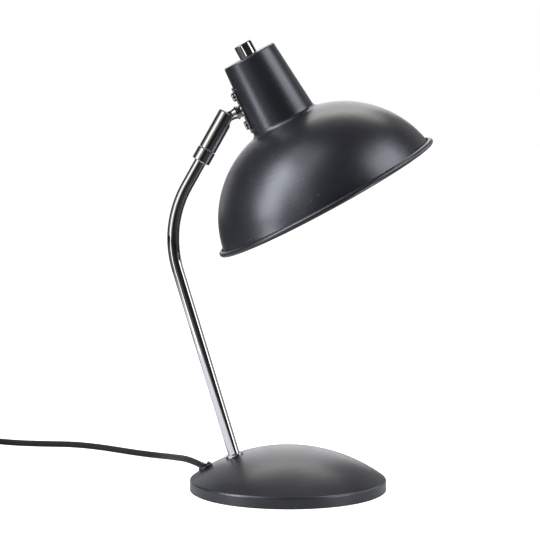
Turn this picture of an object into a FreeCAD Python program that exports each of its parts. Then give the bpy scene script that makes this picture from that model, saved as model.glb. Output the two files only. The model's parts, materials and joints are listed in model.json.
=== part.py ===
# Desk lamp with a domed weighted base, a bent tube arm, a slotted ball joint and a spun shade.
# Lengths are millimetres.  The origin is the centre of the base's underside, +Z is up,
# the arm and the shade lie in the XZ plane with the shade on the +X side.
import FreeCAD
import Part
import math
import os

Vector = FreeCAD.Vector

# Shared clearances
overrun = 5.0                  # how far a cutting shape passes its face
seat_gap = 0.3                 # loose seat between pieces that never move
running_gap = 0.08             # radial gap of a shaft that turns in its hole
face_gap = 0.05                # gap between flat faces that turn on each other
ball_gap = 0.1                 # gap between the ball and its seats
thread_gap = 0.05              # radial gap of a plain thread
hole_gap = 0.15                # radial gap of a through hole
closeness = 0.0001             # how near a worked-out point must come to its place

# Base
base_radius = 82.0
base_height = 36.8
base_wall_height = 9.55        # where the upright wall turns into the dome
base_edge_round = 2.0
cover_wall = 1.0
cover_rim_height = 0.8         # the cover's rim stops above the table
pad_thickness = 1.2
pad_inset = 1.5
plate_thickness = 1.5
pan_radius = 10.5              # raised middle of the base plate
pan_height = 3.0
weight_radius = 74.0
weight_top = 13.0
weight_recess_gap = 0.5
notch_near = 44.5              # pocket in the weight for the cord, from this distance outwards
notch_half_width = 22.0
base_stud_radius = 3.0
base_stud_foot = 1.9           # height of the stud's lower end
base_nut_flats = 10.0
base_nut_thickness = 2.6

# Arm
arm_foot_x = -44.7
arm_radius = 5.0
arm_wall = 1.0
arm_lower_lean = 16.63         # degrees from upright, leaning away from the shade
arm_upper_lean = 29.3          # degrees from upright, leaning towards the shade
arm_lower_length = 201.0       # from the dome to the corner of the bend
arm_upper_length = 107.1       # from the corner of the bend to the sleeve's mouth
arm_bend_radius = 90.0
arm_tail = 8.5                 # threaded tail below the dome
collar_width = 2.6             # how far the collar stands out from the arm
collar_height = 1.7
collar_round = 0.5
arm_washer_width = 3.0
arm_washer_foot = 3.0          # depth of the washer's flat face below the dome
arm_nut_flats = 14.0
arm_nut_thickness = 3.6

# Ball joint sleeve, measured from the ball's centre along the arm's upper end
sleeve_wall = 1.2
sleeve_length = 34.4
sleeve_mouth = 5.4             # height of the mouth above the ball's centre
sleeve_mouth_round = 1.0
sleeve_foot_round = 0.5
ball_radius = 6.1
stud_play = 0.3                # gap between the stud and the sides of the slot
shoulder_depth = 15.0          # the sleeve's inner shoulder below the ball's centre
sleeve_turn_gap = 0.3
ring_wall = 2.8
ring_length = 11.0
ring_round = 0.6
end_collar_height = 2.8
end_collar_seat = 0.2
cup_top = 4.2
cup_foot = 8.4
cup_bore_radius = 3.0
disc_spring_thickness = 0.6
disc_spring_rise = 1.0
disc_spring_bore = 3.2

# Stud between ball and neck, measured from the ball's centre along the stud
stud_radius = 4.2
stud_cone_start = 7.5
stud_cone_end = 10.8
stud_cone_flare = 0.9          # how much wider the stud is at its shoulder
stud_thread_radius = 3.6
stud_bore_radius = 2.4
stud_mouth_radius = 4.4
stud_mouth_depth = 3.0
washer_radius = 5.85
washer_thickness = 1.3
spacer_radius = 5.0
neck_plate_thickness = 1.5
neck_seat = 16.44              # from the ball's centre to the neck's outer face
neck_plate_length = 40.5
neck_plate_width = 18.0
neck_plate_corner = 4.0
neck_plate_round = 0.4
screw_spacing = 25.2
screw_radius = 2.0
screw_head_radius = 3.9
screw_head_height = 2.3
screw_head_round = 1.5
screw_length = 7.5
screw_slot_width = 0.9
screw_slot_depth = 0.9
bracket_thickness = 1.5
spring_washer_radius = 5.5
spring_washer_thickness = 0.7
stud_nut_flats = 10.0
stud_nut_thickness = 2.8

# Head, measured along its axis from the top of the neck towards the mouth of the shade
head_lean = 28.6               # degrees between the axis and straight down
stud_drop = 37.1               # where the stud passes the neck
shade_wall = 0.8
neck_top_radius = 23.05
neck_half_taper = 4.3          # degrees
neck_top_round = 1.6
neck_fillet_radius = 5.0
dome_radius = 87.25
dome_top_drop = 59.85
dome_centre_offset = 9.8
shade_length = 135.15
bead_radius = 2.4
bead_start_angle = -12.0       # degrees round the bead from its top, outwards

# Switch in the top of the neck
switch_radius = 8.5
switch_depth = 12.0
switch_bushing_radius = 5.0
switch_bushing_height = 2.6
switch_nut_flats = 11.4
switch_nut_thickness = 1.9
spindle_radius = 2.0
spindle_height = 9.0
spindle_depth = 0.6
knob_radius = 7.65
knob_height = 11.0
knob_gap = 0.35
knob_round = 0.9
knob_recess_radius = 6.95
knob_recess_height = 3.2

# Lampholder for an E27 bulb
tab_drop = 19.0
tab_half_width = 6.5
tab_reach = 9.0
leg_up = 20.0
leg_down = 18.0
leg_half_width = 7.0
nipple_radius = 5.0
nipple_bore_radius = 3.2
nipple_start = 16.5
nipple_nut_flats = 13.0
nipple_nut_thickness = 2.2
holder_cap_start = 41.0
holder_cap_shoulder = 46.0
holder_split = 52.0
holder_end = 76.0
holder_radius = 18.5
holder_cap_top_radius = 11.0
holder_wall = 2.3
insulator_start = 46.0
insulator_end = 50.0
screw_shell_radius = 14.1
screw_shell_wall = 0.4
screw_shell_end = 74.0
holder_lip = 1.6
contact_height = 2.2
contact_radius = 3.0

# Bulb, type P45 with an E27 cap
bulb_contact_start = 52.4
bulb_contact_radius = 4.5
bulb_contact_height = 1.2
bulb_cap_radius = 13.2
bulb_cap_taper = 3.0
bulb_cap_end = 77.0
bulb_radius = 22.5
bulb_centre = 104.0
bulb_neck_radius = 13.0
bulb_wall = 0.8
bulb_cap_wall = 0.5

# Mains cord, bushing, clamp and terminals
cord_radius = 2.75
lead_radius = 2.0
bushing_offset = 68.4          # distance of the bushing from the middle of the base
bushing_radius = 6.2
bushing_height = 2.5
bushing_round = 0.5
bushing_barrel_radius = 5.0
bushing_barrel_length = 9.0
latch_near = 2.6
latch_far = 5.2
latch_half_width = 2.4
latch_height = 4.0
latch_round = 0.5
boot_lift = 0.7                # where the outlet's axis starts above the dome
boot_length = 6.5
boot_wall = 0.5
boot_heading = 125.0           # degrees in plan
boot_rise = 7.5                # degrees above level
bushing_turn_radius = 5.5
cord_bore_gap = 0.08
clamp_x = -41.0
clamp_y = 18.0
clamp_half_length = 8.5
clamp_half_width = 3.0
clamp_thickness = 1.5
clamp_screw_reach = 6.2
clamp_screw_radius = 1.25
clamp_screw_head_radius = 2.1
clamp_screw_head_height = 1.2
clamp_screw_depth = 4.0
terminal_x = -20.0
terminal_length = 20.0
terminal_width = 12.0
terminal_height = 10.0
terminal_screw_spacing = 10.0
terminal_screw_radius = 1.6
terminal_screw_depth = 3.0

# Coil of the cord that is put away
coil_x = -312.0
coil_y = 177.0
coil_lift = 0.8                # the tie passes under the coil
coil_inner_radius = 22.9
coil_turn_gap = 0.6            # gap between turns that lie side by side
coil_layer_gap = 0.5
coil_turns_in = 3.25
coil_climb_turns = 0.5
coil_turns_out = 3.5
coil_start_angle = 90.0
coil_arcs_per_turn = 4         # pairs of arcs that draw one turn
coil_points_per_turn = 180     # points that the gap between turns is measured on
coil_minimum_gap = 0.4
tie_angle = 225.0
tie_width = 8.0
tie_thickness = 0.7
tie_gap = 0.1
tie_round = 3.0

# Mains plug, flat two-pin type
plug_axis_shift = 1.5
plug_start_back = 48.0         # from the coil's centre to the boot's cord end
plug_boot_length = 20.0
plug_boot_end_radius = 4.6
plug_boot_start_radius = 3.4
plug_body_length = 36.0
plug_body_back_width = 14.0
plug_body_width = 30.0
plug_body_front_width = 26.0
plug_waist_share = 0.45
plug_body_thickness = 13.7
plug_body_round = 2.2
plug_pin_radius = 2.0
plug_pin_length = 19.0
plug_pin_spacing = 18.6

# Route of the cord between bushing and coil: chosen by hand, it lies on the table after 150 mm
cord_first_run = 9.5
cord_last_run = 25.0
cord_route = [
    Vector(-84.4, 26.0, 21.0),
    Vector(-88.8, 47.0, 18.0),
    Vector(-97.6, 81.0, 12.6),
    Vector(-104.2, 113.0, 7.4),
    Vector(-112.4, 138.0, 3.4),
    Vector(-137.0, 157.5, cord_radius),
    Vector(-167.0, 183.5, cord_radius),
    Vector(-194.0, 198.5, cord_radius),
    Vector(-224.0, 200.5, cord_radius),
    Vector(-253.0, 207.0, cord_radius),
]
tail_first_run = 12.0
tail_last_run = 14.0
turn_share = 0.45              # share of the shorter run that an arc may take up

# Route of the cord inside the base, from the bushing to the terminals
inner_route = [
    Vector(-60.2, 3.0, 6.6),
    Vector(-54.5, 12.0, 9.2),
    Vector(-46.5, 18.0, 15.9),
    Vector(-33.0, 18.0, 15.9),
    Vector(-20.0, 16.0, 18.2),
]

# Directions and points worked out from the sizes above
up = Vector(0, 0, 1)
across = Vector(0, 1, 0)
centre = Vector(0, 0, 0)


def lean(degrees):
    """Unit vector in the XZ plane, leaning from straight up towards +X."""
    angle = math.radians(degrees)
    return Vector(math.sin(angle), 0, math.cos(angle))


def heading(plan_degrees, rise_degrees):
    """Unit vector from its direction in plan and its rise."""
    plan = math.radians(plan_degrees)
    rise = math.radians(rise_degrees)
    return Vector(math.cos(rise) * math.cos(plan), math.cos(rise) * math.sin(plan), math.sin(rise))


dome_rise = base_height - base_wall_height
base_dome_radius = (base_radius ** 2 + dome_rise ** 2) / (2 * dome_rise)
base_dome_centre = Vector(0, 0, base_height - base_dome_radius)


def on_base(x):
    """Point of the base's dome above the X axis."""
    return Vector(x, 0, base_dome_centre.z + math.sqrt(base_dome_radius ** 2 - x ** 2))


lower_direction = lean(-arm_lower_lean)
upper_direction = lean(arm_upper_lean)
arm_foot = on_base(arm_foot_x)
arm_corner = arm_foot + lower_direction * arm_lower_length
sleeve_radius = ball_radius + ball_gap + sleeve_wall
slot_half_width = stud_radius + stud_play
mouth_radius = stud_radius + ball_gap + stud_play
ring_radius = arm_radius + ring_wall
coil_pitch = 2 * cord_radius + coil_turn_gap
coil_layer_step = 2 * cord_radius + coil_layer_gap
ball_centre = arm_corner + upper_direction * (arm_upper_length - sleeve_mouth)
slot_direction = lean(arm_upper_lean + 90)
stud_direction = lean(90 - (head_lean - neck_half_taper))
wall_direction = lean(180 - (head_lean - neck_half_taper))
head_axis = lean(180 - head_lean)
head_side = lean(90 - head_lean)
taper = math.tan(math.radians(neck_half_taper))


def neck_radius(drop):
    """Outer radius of the neck at a distance below its top."""
    return neck_top_radius + drop * taper


neck_top = (ball_centre + stud_direction * neck_seat - head_axis * stud_drop
            + head_side * neck_radius(stud_drop))
bushing_point = on_base(-bushing_offset)
bushing_normal = (bushing_point - base_dome_centre).normalize()
boot_direction = heading(boot_heading, boot_rise)
boot_origin = bushing_point + bushing_normal * boot_lift
cord_exit = boot_origin + boot_direction * boot_length
plate_top = pad_thickness + plate_thickness
plate_face = neck_seat - neck_plate_thickness


# Shapes shared by several pieces
def frame_at(origin, axis, side):
    """Placement whose Z runs along axis and whose X points to side."""
    return FreeCAD.Placement(origin, FreeCAD.Rotation(side, axis.cross(side), axis, "ZXY"))


foot_frame = frame_at(arm_foot, lower_direction, across)
sleeve_frame = frame_at(ball_centre, upper_direction, slot_direction)
stud_frame = frame_at(ball_centre, stud_direction, wall_direction)
head_frame = frame_at(neck_top, head_axis, head_side)
bushing_frame = frame_at(bushing_point, bushing_normal, bushing_normal.cross(across) * -1)


def placed(shape, frame):
    """The shape moved from its own axes into a frame."""
    moved = shape.copy()
    moved.Placement = frame.multiply(moved.Placement)
    return moved


def rod(radius, start, end, x=0.0, y=0.0):
    """Round bar along Z from start to end."""
    low, high = min(start, end), max(start, end)
    return Part.makeCylinder(radius, high - low, Vector(x, y, low), up)


def ring(radius, bore, start, end):
    """Round bar with a round hole."""
    low, high = min(start, end), max(start, end)
    return rod(radius, low, high).cut(rod(bore, low - overrun, high + overrun))


def cone(start_radius, end_radius, start, end):
    """Cone along Z from start to end."""
    return Part.makeCone(start_radius, end_radius, end - start, Vector(0, 0, start), up)


def block(low, high):
    """Box between two corners."""
    size = high - low
    return Part.makeBox(size.x, size.y, size.z, low)


def hexagon(flats, start, end):
    """Six-sided bar along Z, by its width across the flats."""
    radius = flats / math.sqrt(3)
    sixth = math.pi / 3
    corners = [Vector(radius * math.cos(k * sixth), radius * math.sin(k * sixth), start) for k in range(7)]
    return Part.Face(Part.makePolygon(corners)).extrude(Vector(0, 0, end - start))


def nut(flats, bore, start, end):
    """Six-sided nut with a plain hole."""
    return hexagon(flats, start, end).cut(rod(bore, start - overrun, end + overrun))


def turned(outline):
    """Solid of revolution about Z from a closed list of edges in the XZ plane."""
    return Part.Face(Part.Wire(outline)).revolve(centre, up, 360)


def polyline(points):
    """Straight edges through (radius, height) pairs, closed."""
    corners = [Vector(r, 0, z) for r, z in points]
    return [Part.makeLine(a, b) for a, b in zip(corners, corners[1:] + corners[:1])]


def edges_at(shape, height, radius):
    """Round edges of a shape about Z at one height and radius."""
    found = []
    for edge in shape.Edges:
        if edge.Degenerated or not edge.Closed:
            continue
        near_height = abs(edge.Curve.Center.z - height) < face_gap
        if near_height and abs(edge.Curve.Radius - radius) < face_gap:
            found.append(edge)
    return found


def rounded(shape, size, height, radius):
    """A shape with its round edge at one height and radius rounded off."""
    return shape.makeFillet(size, edges_at(shape, height, radius))


def rounded_path(points, radii):
    """Straight runs joined by tangent arcs."""
    edges = []
    start = points[0]
    for before, corner, after, radius in zip(points, points[1:], points[2:], radii):
        incoming = (corner - before).normalize()
        outgoing = (after - corner).normalize()
        turn = incoming.getAngle(outgoing)
        reach = radius * math.tan(turn / 2)
        arc_start = corner - incoming * reach
        arc_end = corner + outgoing * reach
        inward = (outgoing - incoming).normalize()
        middle = corner + inward * (radius / math.cos(turn / 2) - radius)
        edges.append(Part.LineSegment(start, arc_start).toShape())
        edges.append(Part.Arc(arc_start, middle, arc_end).toShape())
        start = arc_end
    edges.append(Part.LineSegment(start, points[-1]).toShape())
    return Part.Wire(edges)


def free_radii(points):
    """Arc radii as large as the runs beside each point allow."""
    radii = []
    for before, corner, after in zip(points, points[1:], points[2:]):
        shorter = min((corner - before).Length, (after - corner).Length)
        turn = (corner - before).getAngle(after - corner)
        radii.append(turn_share * shorter / math.tan(turn / 2))
    return radii


def swept(path, radius):
    """Round bar along a path."""
    start = path.Edges[0]
    first = start.valueAt(start.FirstParameter)
    direction = start.tangentAt(start.FirstParameter)
    circle = Part.Wire([Part.Circle(first, direction, radius).toShape()])
    return path.makePipeShell([circle], True, False)


# Base
def base_dome(inset):
    """The base's outer form, drawn in by an inset."""
    radius = base_radius - inset
    drum = rod(radius, cover_rim_height, base_height)
    ball = Part.makeSphere(base_dome_radius - inset, base_dome_centre)
    form = drum.common(ball)
    edge_height = base_dome_centre.z + math.sqrt((base_dome_radius - inset) ** 2 - radius ** 2)
    return rounded(form, base_edge_round - inset, edge_height, radius)


def base_cover():
    """Spun steel cover with the arm's hole and the bushing's hole."""
    mouth = rod(base_radius - cover_wall, cover_rim_height - overrun, cover_rim_height)
    shell = base_dome(0.0).cut(base_dome(cover_wall)).cut(mouth)
    arm_hole = placed(rod(arm_radius + hole_gap, -overrun, overrun), foot_frame)
    bushing_hole = placed(rod(bushing_barrel_radius + hole_gap, -overrun, overrun), bushing_frame)
    return shell.cut(arm_hole).cut(bushing_hole)


def base_weight():
    """Cast iron weight under the dome, with a pocket for the cord and the clamp's screw holes."""
    disc = rod(weight_radius, plate_top, weight_top)
    ball = Part.makeSphere(base_dome_radius - cover_wall - seat_gap, base_dome_centre)
    recess_top = plate_top + pan_height + weight_recess_gap
    recess = rod(pan_radius + weight_recess_gap, plate_top - overrun, recess_top)
    bore = rod(base_stud_radius + weight_recess_gap, 0, base_height)
    notch = block(Vector(-base_radius, -notch_half_width, 0),
                  Vector(-notch_near, notch_half_width, base_height))
    body = disc.common(ball).cut(recess).cut(bore).cut(notch)
    for side in (-clamp_screw_reach, clamp_screw_reach):
        hole = rod(clamp_screw_radius, weight_top - clamp_screw_depth, base_height, clamp_x, clamp_y + side)
        body = body.cut(hole)
    return body


def base_plate():
    """Steel plate that closes the base, with a raised middle for the nut."""
    radius = base_radius - cover_wall - seat_gap
    disc = ring(radius, pan_radius - plate_thickness, pad_thickness, plate_top)
    pan = rod(pan_radius, pad_thickness, plate_top + pan_height)
    hollow = rod(pan_radius - plate_thickness, 0, pad_thickness + pan_height)
    hole = rod(base_stud_radius + hole_gap, 0, base_height)
    return disc.fuse(pan.cut(hollow)).cut(hole).removeSplitter()


def base_pad():
    """Soft pad under the base plate."""
    return rod(base_radius - pad_inset, 0, pad_thickness)


def base_stud():
    """Threaded stud welded under the top of the dome."""
    return rod(base_stud_radius, base_stud_foot, base_height).common(base_dome(cover_wall))


def base_nut():
    """Nut that draws the base plate up."""
    top = pad_thickness + pan_height
    return nut(base_nut_flats, base_stud_radius + thread_gap, top - base_nut_thickness, top)


# Arm
def arm_path(start, end):
    """Centre line of the arm between two of its points."""
    return rounded_path([start, arm_corner, end], [arm_bend_radius])


arm_start = arm_foot - lower_direction * arm_tail
end_collar_top = shoulder_depth - end_collar_seat - end_collar_height
arm_end = ball_centre - upper_direction * end_collar_top


def arm_tube():
    """Bent chromed tube from the base to the ball joint."""
    path = arm_path(arm_start, arm_end)
    return swept(path, arm_radius).cut(swept(path, arm_radius - arm_wall))


def arm_collar():
    """Chromed collar where the arm leaves the dome."""
    radius = arm_radius + collar_width
    body = rounded(rod(radius, -overrun, collar_height), collar_round, collar_height, radius)
    body = body.cut(rod(arm_radius, -2 * overrun, 2 * overrun))
    return placed(body, foot_frame).cut(Part.makeSphere(base_dome_radius, base_dome_centre))


def arm_washer():
    """Washer under the dome, curved on top to lie against it."""
    outer = arm_radius + arm_washer_width
    body = placed(ring(outer, arm_radius + hole_gap, -arm_washer_foot, overrun), foot_frame)
    return body.common(Part.makeSphere(base_dome_radius - cover_wall - face_gap, base_dome_centre))


def arm_nut():
    """Nut on the arm's threaded tail."""
    low = -arm_washer_foot - arm_nut_thickness
    return placed(nut(arm_nut_flats, arm_radius + thread_gap, low, -arm_washer_foot), foot_frame)


def arm_lead():
    """Two-core lead from the terminals up through the arm."""
    terminal_side = Vector(terminal_x - terminal_length / 2, 0, weight_top + lead_radius + thread_gap)
    below = arm_foot - lower_direction * ((arm_foot.z - terminal_side.z) / lower_direction.z)
    points = [terminal_side, below, arm_corner, arm_end]
    return swept(rounded_path(points, [2 * lead_radius, arm_bend_radius]), lead_radius)


# Ball joint
def sleeve_ring():
    """Chromed ring on the arm below the sleeve."""
    top = sleeve_mouth - sleeve_length - sleeve_turn_gap
    body = rod(ring_radius, top - ring_length, top)
    body = body.makeFillet(ring_round, edges_at(body, top, ring_radius)
                           + edges_at(body, top - ring_length, ring_radius))
    return placed(body.cut(rod(arm_radius, top - ring_length - overrun, top + overrun)), sleeve_frame)


def joint_sleeve():
    """Chromed sleeve that turns on the arm and holds the ball, slotted on one side."""
    foot = sleeve_mouth - sleeve_length
    body = rod(sleeve_radius, foot, sleeve_mouth)
    body = rounded(body, sleeve_mouth_round, sleeve_mouth, sleeve_radius)
    body = rounded(body, sleeve_foot_round, foot, sleeve_radius)
    seat = ball_radius + ball_gap
    body = body.cut(rod(arm_radius + running_gap, foot - overrun, 0))
    body = body.cut(rod(seat, -shoulder_depth, 0))
    body = body.cut(Part.makeSphere(seat))
    body = body.cut(rod(mouth_radius, 0, sleeve_mouth + overrun))
    far = sleeve_radius + overrun
    slot = block(Vector(0, -slot_half_width, 0), Vector(far, slot_half_width, sleeve_mouth + overrun))
    slot_end = Part.makeCylinder(slot_half_width, far, centre, Vector(1, 0, 0))
    return placed(body.cut(slot).cut(slot_end), sleeve_frame)


def arm_end_collar():
    """Collar brazed to the arm's end, which keeps the sleeve on."""
    low = -shoulder_depth + end_collar_seat
    return placed(ring(ball_radius, arm_radius, low, low + end_collar_height), sleeve_frame)


def friction_cup():
    """Nylon cup that presses on the ball."""
    body = ring(ball_radius, cup_bore_radius, -cup_foot, -cup_top)
    return placed(body.cut(Part.makeSphere(ball_radius + ball_gap)), sleeve_frame)


def disc_springs():
    """Two coned disc springs under the cup."""
    springs = []
    top = -cup_foot - face_gap
    inner, outer = disc_spring_bore, ball_radius - ball_gap
    for inner_drop, outer_drop in ((disc_spring_rise, 0.0), (0.0, disc_spring_rise)):
        springs.append(turned(polyline([
            (inner, top - inner_drop),
            (outer, top - outer_drop),
            (outer, top - outer_drop - disc_spring_thickness),
            (inner, top - inner_drop - disc_spring_thickness),
        ])))
        top -= disc_spring_rise + disc_spring_thickness + face_gap
    return placed(Part.makeCompound(springs), sleeve_frame)


thread_end = neck_seat + shade_wall + bracket_thickness + spring_washer_thickness + stud_nut_thickness


def ball_stud():
    """Ball and hollow stud in one piece."""
    body = Part.makeSphere(ball_radius)
    body = body.fuse(rod(stud_radius, 0, stud_cone_start))
    body = body.fuse(cone(stud_radius, stud_radius + stud_cone_flare, stud_cone_start, stud_cone_end))
    body = body.fuse(rod(stud_thread_radius, stud_cone_end, thread_end))
    body = body.cut(rod(stud_bore_radius, -ball_radius - overrun, thread_end + overrun))
    body = body.cut(cone(stud_mouth_radius, stud_bore_radius, -ball_radius, stud_mouth_depth - ball_radius))
    return placed(body.removeSplitter(), stud_frame)


def swivel_washer():
    """Chromed washer on the stud's shoulder."""
    body = ring(washer_radius, stud_thread_radius, stud_cone_end, stud_cone_end + washer_thickness)
    return placed(body, stud_frame)


def spring_washer():
    """Spring washer between bracket and stud nut."""
    low = neck_seat + shade_wall + bracket_thickness + face_gap
    body = ring(spring_washer_radius, stud_thread_radius, low, low + spring_washer_thickness - face_gap)
    return placed(body, stud_frame)


def stud_nut():
    """Nut on the end of the stud inside the neck."""
    low = thread_end - stud_nut_thickness
    return placed(nut(stud_nut_flats, stud_thread_radius, low, thread_end), stud_frame)


stud_hole_radius = stud_thread_radius + running_gap


# Head
dome_centre_drop = dome_top_drop + dome_radius


def neck_form(inset):
    """Solid bounded by the neck's outer face drawn in by an inset, longer than the neck."""
    slant = inset / math.cos(math.radians(neck_half_taper))
    end = stud_drop + neck_plate_length
    low_radius = neck_radius(-overrun) - slant
    high_radius = neck_radius(end) - slant
    return placed(cone(low_radius, high_radius, -overrun, end), head_frame)


def swivel_spacer():
    """Chromed spacer between washer and neck plate, shaped to the plate's bend."""
    low = stud_cone_end + washer_thickness + face_gap
    body = placed(ring(spacer_radius, stud_hole_radius, low, neck_seat), stud_frame)
    return body.cut(neck_form(-neck_plate_thickness))


def screw_places():
    """Distances of the two neck screws from the stud, along the neck."""
    return (-screw_spacing / 2, screw_spacing / 2)


def neck_plate():
    """Chromed strap that carries the head on the stud, bent round the neck."""
    half_length, half_width = neck_plate_length / 2, neck_plate_width / 2
    deep = neck_seat + half_width
    body = block(Vector(-half_length, -half_width, 0), Vector(half_length, half_width, deep))
    corners = [edge for edge in body.Edges if edge.BoundBox.ZLength > half_width]
    body = body.makeFillet(neck_plate_corner, corners)
    outside = neck_form(-neck_plate_thickness)
    outside.Placement = stud_frame.inverse().multiply(outside.Placement)
    body = body.common(outside)
    rim = [edge for edge in body.Edges if edge.BoundBox.ZMax < deep - half_width / 2]
    body = body.makeFillet(neck_plate_round, rim)
    body = body.cut(rod(stud_hole_radius, 0, deep))
    for place in screw_places():
        body = body.cut(rod(screw_radius + hole_gap, 0, deep, place))
    return placed(body, stud_frame).cut(neck_form(-face_gap))


def neck_plate_screws():
    """Two pan head screws through plate, neck and bracket."""
    screws = []
    for place in screw_places():
        head = rod(screw_head_radius, plate_face - screw_head_height, plate_face)
        head = rounded(head, screw_head_round, plate_face - screw_head_height, screw_head_radius)
        low = plate_face - screw_head_height
        half = screw_slot_width / 2
        for across_x, across_y in ((screw_head_radius / 2, half), (half, screw_head_radius / 2)):
            head = head.cut(block(Vector(-across_x, -across_y, low - overrun),
                                  Vector(across_x, across_y, low + screw_slot_depth)))
        body = head.fuse(rod(screw_radius, plate_face, plate_face + screw_length))
        body.translate(Vector(place, 0, 0))
        screws.append(body.removeSplitter())
    return placed(Part.makeCompound(screws), stud_frame)


def profile_point(drop, radius):
    """Point of the shade's outline in the head's own axes."""
    return Vector(radius, 0, drop)


def shade_side(inset):
    """Points of the shade's outline from the neck's top to the bead, drawn in by an inset."""
    slope = math.radians(neck_half_taper)
    top_round = neck_top_round - inset
    fillet = neck_fillet_radius + inset
    arc = dome_radius - inset
    wall = neck_top_radius - inset / math.cos(slope)
    # Fillet centre: one fillet radius outside the neck's line and outside the dome's arc
    low, high = 0.0, dome_centre_drop
    while high - low > closeness:
        middle = (low + high) / 2
        radius = wall + middle * taper + fillet / math.cos(slope)
        reach = math.hypot(dome_centre_drop - middle, radius - dome_centre_offset)
        if reach > arc + fillet:
            low = middle
        else:
            high = middle
    fillet_radius_at = wall + low * taper + fillet / math.cos(slope)
    reach = math.hypot(dome_centre_drop - low, fillet_radius_at - dome_centre_offset)
    to_dome = ((dome_centre_drop - low) / reach, (dome_centre_offset - fillet_radius_at) / reach)
    neck_end = (low + fillet * math.sin(slope), fillet_radius_at - fillet * math.cos(slope))
    dome_start = (low + fillet * to_dome[0], fillet_radius_at + fillet * to_dome[1])
    half_way = ((-math.cos(slope) + to_dome[1]), (math.sin(slope) + to_dome[0]))
    size = math.hypot(*half_way)
    fillet_middle = (low + fillet * half_way[1] / size, fillet_radius_at + fillet * half_way[0] / size)
    # Rounded edge at the top of the neck
    round_centre = (inset + top_round, wall + (inset + top_round) * taper - top_round / math.cos(slope))
    top_end = (inset, round_centre[1])
    neck_start = (round_centre[0] - top_round * math.sin(slope),
                  round_centre[1] + top_round * math.cos(slope))
    diagonal = (math.radians(90) + slope) / 2
    top_middle = (round_centre[0] - top_round * math.sin(diagonal),
                  round_centre[1] + top_round * math.cos(diagonal))
    # Dome down to the start of the bead
    end = (dome_centre_drop - arc * math.sin(bead_slant), dome_centre_offset + arc * math.cos(bead_slant))
    middle_drop = (dome_start[0] + end[0]) / 2
    middle_reach = math.sqrt(arc ** 2 - (dome_centre_drop - middle_drop) ** 2)
    dome_middle = (middle_drop, dome_centre_offset + middle_reach)
    return [top_end, top_middle, neck_start, neck_end, fillet_middle, dome_start, dome_middle, end]


def shade_edges(points):
    """Edges through the points of one side of the shade's outline."""
    top_end, top_middle, neck_start, neck_end, fillet_middle, dome_start, dome_middle, end = [
        profile_point(*point) for point in points]
    return [
        Part.Arc(top_end, top_middle, neck_start).toShape(),
        Part.LineSegment(neck_start, neck_end).toShape(),
        Part.Arc(neck_end, fillet_middle, dome_start).toShape(),
        Part.Arc(dome_start, dome_middle, end).toShape(),
    ]


# The bead curls outwards from the dome's inner face
bead_drop = shade_length - bead_radius
bead_reach = dome_radius - shade_wall + bead_radius
bead_slant = math.asin((dome_centre_drop - bead_drop) / bead_reach)
bead_centre_radius = dome_centre_offset + bead_reach * math.cos(bead_slant)
bead_end_angle = 270.0 - math.degrees(bead_slant)


def bead_point(radius, degrees):
    """Point of the bead's section, by its angle from the top, outwards."""
    angle = math.radians(degrees)
    return profile_point(bead_drop - radius * math.cos(angle), bead_centre_radius + radius * math.sin(angle))


def bead_edges():
    """Edges of the shade's rim rolled outwards into an open curl."""
    hollow = bead_radius - shade_wall
    middle = (bead_start_angle + bead_end_angle) / 2
    inside = [bead_point(hollow, angle) for angle in (bead_end_angle, middle, bead_start_angle)]
    outside = [bead_point(bead_radius, angle) for angle in (bead_start_angle, middle, bead_end_angle)]
    return [
        Part.Arc(*inside).toShape(),
        Part.makeLine(inside[-1], outside[0]),
        Part.Arc(*outside).toShape(),
    ]


def shade():
    """Spun shade: neck, dome and rolled bead in one skin."""
    outer = shade_side(0.0)
    inner = shade_side(shade_wall)
    bore = switch_bushing_radius + hole_gap
    outer_top, inner_top = profile_point(0.0, bore), profile_point(shade_wall, bore)
    outline = [Part.makeLine(outer_top, profile_point(*outer[0]))]
    outline += shade_edges(outer)
    outline += bead_edges()
    outline += shade_edges(inner)
    outline += [Part.makeLine(profile_point(*inner[0]), inner_top), Part.makeLine(inner_top, outer_top)]
    skin = placed(turned(Part.__sortEdges__(outline)), head_frame)
    deep = neck_seat + 2 * overrun
    holes = rod(stud_hole_radius + hole_gap, plate_face, deep)
    for place in screw_places():
        holes = holes.fuse(rod(screw_radius + hole_gap, plate_face, deep, place))
    return skin.cut(placed(holes, stud_frame))


def lampholder_bracket():
    """Bent bracket inside the neck: a leg behind the screws and a tab for the lampholder."""
    leg = block(Vector(-leg_up, -leg_half_width, plate_face),
                Vector(leg_down, leg_half_width, neck_seat + shade_wall + bracket_thickness))
    leg = leg.cut(rod(stud_hole_radius, 0, thread_end))
    for place in screw_places():
        leg = leg.cut(rod(screw_radius, 0, thread_end + overrun, place))
    tab = block(Vector(-neck_top_radius - overrun, -tab_half_width, tab_drop),
                Vector(tab_reach, tab_half_width, tab_drop + bracket_thickness))
    tab = tab.cut(rod(nipple_radius + thread_gap, 0, tab_drop + overrun))
    # The tab stops at the leg's outer face
    beyond = block(Vector(-neck_plate_length, -neck_plate_width, 0),
                   Vector(neck_plate_length, neck_plate_width, neck_seat))
    tab = placed(tab, head_frame).cut(placed(beyond, stud_frame))
    body = placed(leg, stud_frame).fuse(tab)
    return body.common(neck_form(shade_wall + face_gap)).removeSplitter()


def lampholder_nipple():
    """Threaded tube between bracket and lampholder."""
    return placed(ring(nipple_radius, nipple_bore_radius, nipple_start, insulator_start - holder_wall),
                  head_frame)


def nipple_nuts():
    """Two nuts that clamp the nipple to the tab."""
    nuts = []
    for start in (tab_drop - nipple_nut_thickness, tab_drop + bracket_thickness):
        nuts.append(nut(nipple_nut_flats, nipple_radius, start, start + nipple_nut_thickness))
    return placed(Part.makeCompound(nuts), head_frame)


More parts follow.
